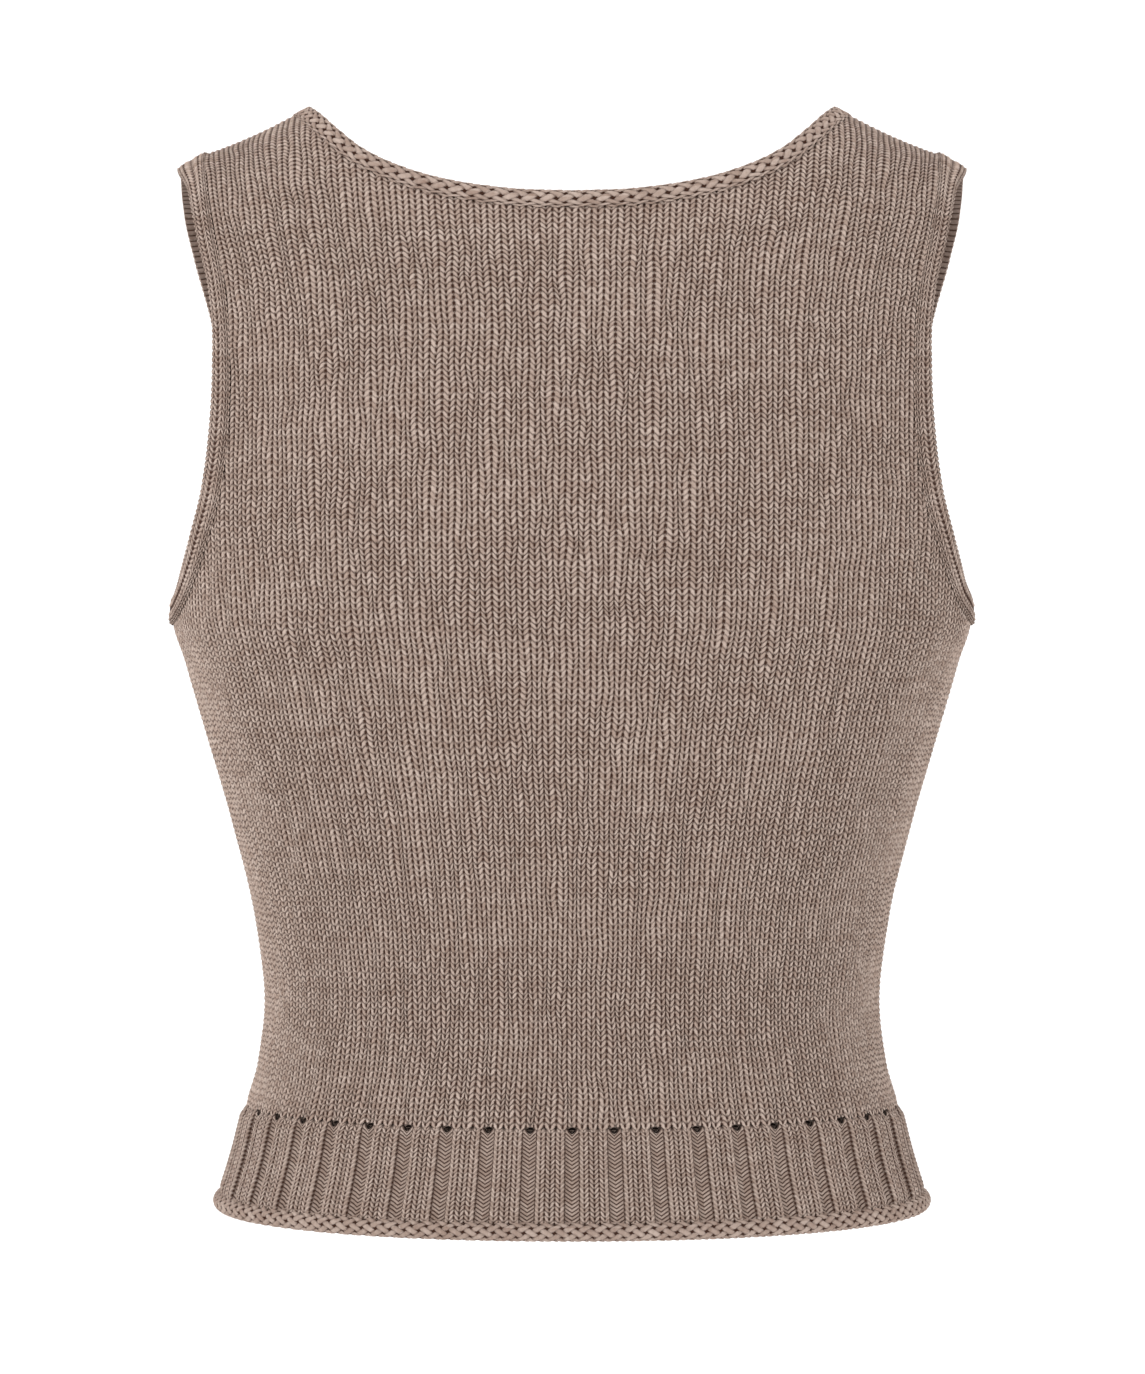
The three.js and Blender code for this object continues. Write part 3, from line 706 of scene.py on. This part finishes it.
def knit_material(name, style):
    """style: stockinette, rib, chain (neck), flat (armhole), roll (hem edge)."""
    m, nt = new_material(name)
    g = Graph(nt)
    out = g.node("ShaderNodeOutputMaterial")
    bsdf = g.node("ShaderNodeBsdfPrincipled")
    nt.links.new(bsdf.outputs[0], out.inputs["Surface"])
    uv = g.node("ShaderNodeUVMap", uv_map="Knit").outputs["UV"]
    sep = g.node("ShaderNodeSeparateXYZ")
    nt.links.new(uv, sep.inputs[0])
    u, v = sep.outputs[0], sep.outputs[1]
    geo = g.node("ShaderNodeTexCoord").outputs["Object"]

    reverse = g.math("GREATER_THAN", u, 300.0)
    wob = g.noise(g.combine(g.math("MULTIPLY", u, 0.45), g.math("MULTIPLY", v, 0.45)), 1.0, 2.0)
    wob = g.math("MULTIPLY", g.math("SUBTRACT", wob, 0.5), 0.55)
    xi = g.math("MULTIPLY", g.math("ABSOLUTE", g.math("SUBTRACT", g.math("FRACT", g.math("ADD", u, 0.5)), 0.5)), 2.0)
    slack = g.noise(g.combine(g.math("MULTIPLY", u, 0.11), g.math("MULTIPLY", v, 0.07)), 1.0, 2.0)
    if style in ("stockinette", "rib", "flat"):
        if style == "flat":
            x3 = g.math("ADD", g.math("MULTIPLY", g.math("FRACT", u), 3.5), 0.25)
            xi = g.math("MULTIPLY", g.math("ABSOLUTE", g.math("SUBTRACT", g.math("FRACT", x3), 0.5)), 2.0)
            leg = g.math("ADD", g.math("ADD", v, g.math("MULTIPLY", xi, RISE)), wob)
        else:
            leg = g.math("ADD", g.math("SUBTRACT", v, g.math("MULTIPLY", xi, RISE)), wob)
        strand = g.math("ABSOLUTE", g.math("SINE", g.math("MULTIPLY", leg, math.pi)))
        ends = g.math("POWER", g.math("ABSOLUTE", g.math("SUBTRACT", g.math("MULTIPLY", xi, 2.0), 1.0)), 2.0)
        # painted shade where two legs part, a dot of painted shade where they meet at the middle and the edge of a
        # wale, and painted shade along the wale's middle and, more, its edge
        crease = g.math("MULTIPLY", g.ramp(strand, 0.70, 0.05), g.ramp(slack, 0.35, 0.6, 0.42, 0.78))
        dot = g.math("MULTIPLY", g.ramp(strand, 1.10, 0.60), g.ramp(ends, 0.10, 0.55))
        gap = g.math("MAXIMUM", g.math("MAXIMUM", crease, dot), g.math("MULTIPLY", g.ramp(ends, 0.45, 1.0, 0.0, 0.72), g.ramp(xi, 0.3, 0.7, 0.62, 1.0)))
        height = g.math("MULTIPLY", g.math("SUBTRACT", 1.0, gap), g.math("ADD", 0.45, g.math("MULTIPLY", strand, 0.55)))
    else:
        turns = {"chain": CHAIN_TURNS, "roll": ROLL_TURNS}[style]
        across = g.math("MULTIPLY", g.math("FRACT", u), turns)
        along = g.math("ADD", v, g.math("MULTIPLY", wob, 0.35))
        d1, d2 = g.math("ADD", along, across), g.math("SUBTRACT", along, across)
        t = []
        for d_ in (d1, d2):
            e = g.math("DIVIDE", g.math("ABSOLUTE", g.math("SUBTRACT", g.math("FRACT", d_), 0.5)), 0.34)
            t.append(g.math("SUBTRACT", 1.0, g.math("MULTIPLY", e, e)))
        floats = 1.0
        over = g.math("FLOORED_MODULO", g.math("ADD", g.math("FLOOR", d1), g.math("FLOOR", d2)), 2.0 * floats)
        over = g.math("GREATER_THAN", over, floats - 0.5)
        top_ = g.math("ADD", g.math("MULTIPLY", t[0], over), g.math("MULTIPLY", t[1], g.math("SUBTRACT", 1.0, over)))
        under = g.math("ADD", g.math("MULTIPLY", t[1], over), g.math("MULTIPLY", t[0], g.math("SUBTRACT", 1.0, over)))
        on = g.math("GREATER_THAN", top_, 0.0)
        upper = g.math("ADD", 0.2, g.math("MULTIPLY", 0.8, g.math("SQRT", g.math("MAXIMUM", top_, 0.0))))
        lower = g.math("MULTIPLY", 0.62, g.math("SQRT", g.math("MAXIMUM", under, 0.0)))
        height = g.math("ADD", g.math("MULTIPLY", on, upper), g.math("MULTIPLY", g.math("SUBTRACT", 1.0, on), lower))
        # painted shade where a strand passes under another, and an even darkening over the whole trim; on the neck
        # chain it fades out at the outer edge
        gap = g.math("ADD", g.math("MULTIPLY", g.ramp(height, 0.75, 0.15, 0.0, 0.84), g.ramp(g.math("FRACT", u), 1.0, 0.84) if style == "chain" else 0.95), {"chain": 0.18, "roll": 0.21}[style])
        leg = g.math("ADD", g.math("MULTIPLY", on, g.math("FLOOR", d1)), g.math("FLOOR", d2))
    if style == "rib":
        wl = g.math("MULTIPLY", g.math("SUBTRACT", g.math("FRACT", g.math("ADD", g.math("DIVIDE", u, 4.0), 0.5)), 0.5), 4.0)
        far = g.math("ABSOLUTE", wl)
        purl = g.ramp(far, 0.52, 0.44)
        vee = g.math("ABSOLUTE", g.math("SINE", g.math("MULTIPLY", g.math("SUBTRACT", g.math("MULTIPLY", v, 1.2), g.math("MULTIPLY", far, 2.4)), math.pi)))
        keep = g.math("SUBTRACT", 1.0, purl)
        height = g.math("ADD", g.math("MULTIPLY", height, keep), g.math("MULTIPLY", g.math("MULTIPLY", vee, 0.7), purl))
        # painted shade between the fine chevrons of the recessed purl wale
        gap = g.math("ADD", g.math("MULTIPLY", gap, keep), g.math("MULTIPLY", g.ramp(vee, 0.95, 0.1, 0.10, 0.97), purl))
        # painted shade in the corner at each side of the recessed wale, and less of it on the plain wale beside it,
        # which so looks lighter
        gap = g.math("MULTIPLY", gap, g.ramp(g.math("ABSOLUTE", g.math("SUBTRACT", far, 0.78)), 0.08, 0.2, 0.25, 1.0))
        gap = g.math("MAXIMUM", gap, g.ramp(g.math("ABSOLUTE", g.math("SUBTRACT", far, 0.52)), 0.12, 0.0, 0.0, 0.75))
    # the reverse side: rows of purl bumps
    pw = g.math("ABSOLUTE", g.math("SINE", g.math("MULTIPLY", g.math("ADD", v, g.math("MULTIPLY", g.math("SINE", g.math("MULTIPLY", u, 2 * math.pi)), 0.22)), math.pi)))
    height = g.math("ADD", g.math("MULTIPLY", height, g.math("SUBTRACT", 1.0, reverse)), g.math("MULTIPLY", pw, reverse))

    # colour: light strands in an uneven dye, with painted shade in the gaps between them
    fine = g.noise(g.combine(g.math("MULTIPLY", u, 7.0), g.math("MULTIPLY", v, 3.0)), 1.0, 3.0, 0.7)
    patch = g.noise(g.combine(g.math("MULTIPLY", u, 0.06), g.math("MULTIPLY", v, 0.8)), 1.0, 3.0, 0.65)
    cell = g.node("ShaderNodeTexWhiteNoise", noise_dimensions="2D")
    g.put(cell.inputs["Vector"], g.combine(g.math("FLOOR", g.math("MULTIPLY", u, 2.0)), g.math("FLOOR", leg)))
    tone = g.math("ADD", g.math("MULTIPLY", fine, 0.5), g.math("ADD", g.math("MULTIPLY", patch, 0.3), g.math("MULTIPLY", cell.outputs["Value"], 0.22)))
    tone = g.ramp(tone, 0.25, 0.80, 0.0, 1.0, smooth=False)
    yarn = g.mix(tone, MID, LIGHT)
    # on the reverse side, painted shade between the rows of purl bumps
    gap = g.math("ADD", g.math("MULTIPLY", gap, g.math("SUBTRACT", 1.0, reverse)), g.math("MULTIPLY", g.ramp(pw, 0.6, 0.05), reverse))
    # painted shade: the gaps between strands darken towards the shade colour
    yarn = g.mix(g.math("MULTIPLY", gap, 0.96), yarn, PAINTED_SHADE)
    # painted shade over the whole reverse side, which is the garment's inside; stronger on the armhole band
    yarn = g.mix(g.math("MULTIPLY", reverse, {"flat": 0.5}.get(style, 0.22)), yarn, PAINTED_SHADE)
    if style in ("stockinette", "rib"):
        # the eyelet over each purl wale: a near-black spot of painted shade for the hole, on the face and on the
        # reverse layer behind it
        e4 = g.math("ABSOLUTE", g.math("MULTIPLY", g.math("SUBTRACT", g.math("FRACT", g.math("ADD", g.math("DIVIDE", u, 4.0), 0.5)), 0.5), 4.0))
        if style == "stockinette":
            wide, tall = 0.35, 0.48
            up = g.math("ABSOLUTE", g.math("SUBTRACT", v, g.math("MULTIPLY", g.math("SUBTRACT", 1.0, reverse), RISE / 2)))
        else:
            wide = 0.33
            tall = g.math("ADD", 0.40, g.math("MULTIPLY", reverse, 0.5))
            up = g.math("ABSOLUTE", g.math("SUBTRACT", v, float(RIB_COURSES)))
        hole = g.math("SQRT", g.math("ADD", g.math("POWER", g.math("DIVIDE", e4, wide), 2.0), g.math("POWER", g.math("DIVIDE", up, tall), 2.0)))
        yarn = g.mix(g.ramp(hole, 1.08, 0.85), yarn, srgb(24, 15, 11))
    nt.links.new(yarn, bsdf.inputs["Base Color"])
    bsdf.inputs["Roughness"].default_value = 0.88
    g.put(bsdf.inputs["Roughness"], g.ramp(fine, 0.2, 0.8, 0.82, 0.97, smooth=False))
    bsdf.inputs["Specular IOR Level"].default_value = 0.15
    bsdf.inputs["Sheen Weight"].default_value = 0.08
    bsdf.inputs["Sheen Roughness"].default_value = 0.45
    bsdf.inputs["Sheen Tint"].default_value = srgb(220, 198, 184)

    fibre = g.noise(g.combine(g.math("MULTIPLY", u, 16.0), g.math("MULTIPLY", g.math("ADD", v, g.math("MULTIPLY", xi, -1.2)), 7.0)), 1.0, 3.0, 0.7)
    total = g.math("ADD", height, g.math("MULTIPLY", fibre, 0.28))
    bump = g.node("ShaderNodeBump")
    bump.inputs["Strength"].default_value = 0.9
    bump.inputs["Distance"].default_value = 0.00075
    nt.links.new(total, bump.inputs["Height"])
    nt.links.new(bump.outputs[0], bsdf.inputs["Normal"])
    return m


mats = {s: knit_material("knit_" + s, s) for s in ("stockinette", "rib", "chain", "flat", "roll")}

# ---------------------------------------------------------------- build
made = {}
for side, word in ((1, "back"), (-1, "front")):
    ob, n_out = panel(side, word + "_knit")
    ob.data.materials.append(mats["stockinette"])
    made[word + "_body"] = ob
    ob = rib(side, word + "_rib_knit")
    ob.data.materials.append(mats["rib"])
    made[word + "_hem_rib"] = ob


def sides_of(line):
    return np.where(line[:, 1] >= 0, 1, -1)


# neck: a slanted two strand chain
def braid(u, v, turns, floats):
    """Height, 0 to 1, of two sets of slanted strands that cross over and under each other."""
    d1, d2 = v + turns * u, v - turns * u
    t1 = 1 - (np.abs(d1 % 1.0 - 0.5) / 0.34) ** 2
    t2 = 1 - (np.abs(d2 % 1.0 - 0.5) / 0.34) ** 2
    over = (np.floor(d1) + np.floor(d2)) % (2 * floats) > floats - 0.5
    top, under = np.where(over, t1, t2), np.where(over, t2, t1)
    return np.where(top > 0, 0.2 + 0.8 * np.sqrt(np.maximum(top, 0)), 0.62 * np.sqrt(np.maximum(under, 0)))


def chain_relief(u, v):
    return (0.95 * braid(u, v, CHAIN_TURNS, 1) - 0.6) * np.clip((1.04 - u) / 0.2, 0, 1), None


L, total = neck_line(1100)
t, d, o = frames(L, sides_of(L), np.array([[0, 0, 40.0]]))
pitch = total / round(total / 7.6)
high = blur(1 - 0.8 * np.clip((L[:, 2] + 26) / 18, 0, 1), 10)
ob = band("neck_chain", L, d, o, t, round_section(7.6, 1.5, 1.7, 17, start=-1.1), chain_relief, 20.0, pitch, total, None, high)
ob.data.materials.append(mats["chain"])
made["neck_trim"] = ob


def flat_relief(u, v):
    x = u * 3.5 + 0.25
    xi = np.abs(x % 1.0 - 0.5) * 2
    a = np.abs(np.sin(math.pi * (v + 0.95 * xi))) ** 0.6
    groove = -0.7 * np.exp(-((xi - 1) / 0.3) ** 2) - 0.5 * np.exp(-(xi / 0.25) ** 2)
    return 0.8 * a + groove - 0.2, None


for sx, word in ((1, "left"), (-1, "right")):
    L, total = arm_line(sx, 840)
    t, d, o = frames(L, sides_of(L), np.array([[sx * 190.0, 0, -110.0]]))
    k = 0.13 * np.maximum(0, 1 - (L[:, 2] - Z_UNDERARM) / 26) ** 2
    # and it bends down at the end of the shoulder
    k = k + blur(0.24 * np.clip((L[:, 2] + 40) / 18, 0, 1), 8)
    d, o = d * np.cos(k)[:, None] - o * np.sin(k)[:, None], o * np.cos(k)[:, None] + d * np.sin(k)[:, None]
    pitch = total / round(total / 2.5)
    # the back edge is drawn in below the shoulder, so the front band's reverse side shows past it
    zl = L[:, 2]
    near = np.clip((-23 - zl) / 9, 0, 1) * np.clip((zl + 150) / 60, 0, 1)
    wide = 1 + np.where(L[:, 1] > 0, -0.28, 0.18) * near + 0.20 * np.clip((zl + 38) / 14, 0, 1)
    wide = blur(wide, 8)
    high = blur(1 - 0.65 * np.clip((zl + 55) / 30, 0, 1), 8)
    ob = band("armhole_band_" + word, L, d, o, t, round_section(11.6, 1.5, 2.0, 22, start=-1.4, tuck=0.9), flat_relief, 40.0, pitch, total, wide, high)
    ob.data.materials.append(mats["flat"])
    made["armhole_trim_" + word] = ob


# hem: the cloth curls to its reverse side
def hem_line(count):
    pts = []
    for side in (1, -1):
        q = np.linspace(1, -1, 600) if side > 0 else np.linspace(-1, 1, 600)
        p = form(side, q, np.full(600, Z_ROLL))
        n = normal(side, p)
        n[:, 2] = 0
        n /= np.linalg.norm(n, axis=1, keepdims=True)
        p = p - n * ROLL_IN
        p[[0, -1], 1] = 0
        pts.append(p[:-1])
    return resample(np.vstack(pts), count)


def roll_relief(u, v):
    return 0.95 * braid(u, v, ROLL_TURNS, 1) - 0.55, None


L, total = hem_line(1000)
n = np.where((L[:, 1] >= 0)[:, None], normal(1, L), normal(-1, L))
n[:, 2] = 0
n = blur(n / np.linalg.norm(n, axis=1, keepdims=True), 4)
up = np.tile(np.array([[0, 0, 1.0]]), (len(L), 1))
section = []
for k in range(22):
    a = math.radians(200 - 360 * 0.93 * k / 21)
    section.append((ROLL_RADIUS * math.cos(a), ROLL_RADIUS * 0.97 * math.sin(a), k / 21))
pitch = total / round(total / 6.0)
ob = band("hem_roll", L, n, up, up, section, roll_relief, 60.0, pitch, total)
ob.data.materials.append(mats["roll"])
made["hem_edge"] = ob

# ---------------------------------------------------------------- ties to the frame
for node, ob in made.items():
    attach(ob, "root")
    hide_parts(node)

# ---------------------------------------------------------------- stage
def plain(name, colour, rough=0.9):
    m, nt = new_material(name)
    g = Graph(nt)
    out = g.node("ShaderNodeOutputMaterial")
    b = g.node("ShaderNodeBsdfPrincipled")
    nt.links.new(b.outputs[0], out.inputs["Surface"])
    b.inputs["Base Color"].default_value = colour
    b.inputs["Roughness"].default_value = rough
    b.inputs["Emission Color"].default_value = (1, 1, 1, 1)
    b.inputs["Emission Strength"].default_value = 0.78
    return m


floor_z = -0.62
pts, tris = [], []
prof = [(2.6, 0.0)]
for k in range(13):
    a = math.radians(90 * k / 12)
    prof.append((-1.4 - 0.8 * math.sin(a), 0.8 - 0.8 * math.cos(a)))
prof.append((-2.2, 3.2))
for x in (-4.0, 4.0):
    for y, z in prof:
        pts.append((x * 1000, y * 1000, (floor_z + z) * 1000))
n_p = len(prof)
for k in range(n_p - 1):
    tris += [(k, k + 1, n_p + k + 1), (k, n_p + k + 1, n_p + k)]
uv = np.zeros((len(pts), 2))
floor = make_mesh("studio_floor", np.array(pts, float), np.array(tris), uv, uv)
floor.data.materials.append(plain("studio_white", (0.36, 0.36, 0.36, 1)))


def area_light(name, loc, target, size, power, colour=(1, 1, 1)):
    data = bpy.data.lights.new(name, "AREA")
    data.shape = "RECTANGLE"
    data.size, data.size_y = size
    data.energy = power
    data.color = colour
    ob = bpy.data.objects.new(name, data)
    scene.collection.objects.link(ob)
    ob.location = loc
    from mathutils import Vector
    ob.rotation_euler = (Vector(target) - Vector(loc)).to_track_quat("-Z", "Y").to_euler()
    return ob


key = area_light("key", (1.1, 2.2, 1.3), (0, 0, -0.22), (1.6, 1.6), 36)
fill = area_light("fill", (-1.6, 1.8, 0.5), (0, 0, -0.25), (1.8, 1.8), 9)
top = area_light("top", (0.0, -0.2, 2.2), (0, 0, -0.2), (2.0, 2.0), 24)
rim_l = area_light("side_left", (2.2, -0.4, 0.2), (0, 0, -0.25), (1.2, 1.6), 12)
rim_r = area_light("side_right", (-2.2, -0.4, 0.2), (0, 0, -0.25), (1.2, 1.6), 7)

world = bpy.data.worlds.new("studio")
scene.world = world
world.use_nodes = True
bg = world.node_tree.nodes["Background"]
bg.inputs["Color"].default_value = (1, 1, 1, 1)
wg = Graph(world.node_tree)
direction = wg.node("ShaderNodeTexCoord").outputs["Generated"]
split = wg.node("ShaderNodeSeparateXYZ")
world.node_tree.links.new(direction, split.inputs[0])
wg.put(bg.inputs["Strength"], wg.ramp(split.outputs[2], 0.22, 0.62, 0.96, 0.22))
scene.view_settings.view_transform = "Standard"
scene.view_settings.look = "None"

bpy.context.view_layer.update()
for ob in made.values():
    print("PIECE", ob.name, len(ob.data.polygons))
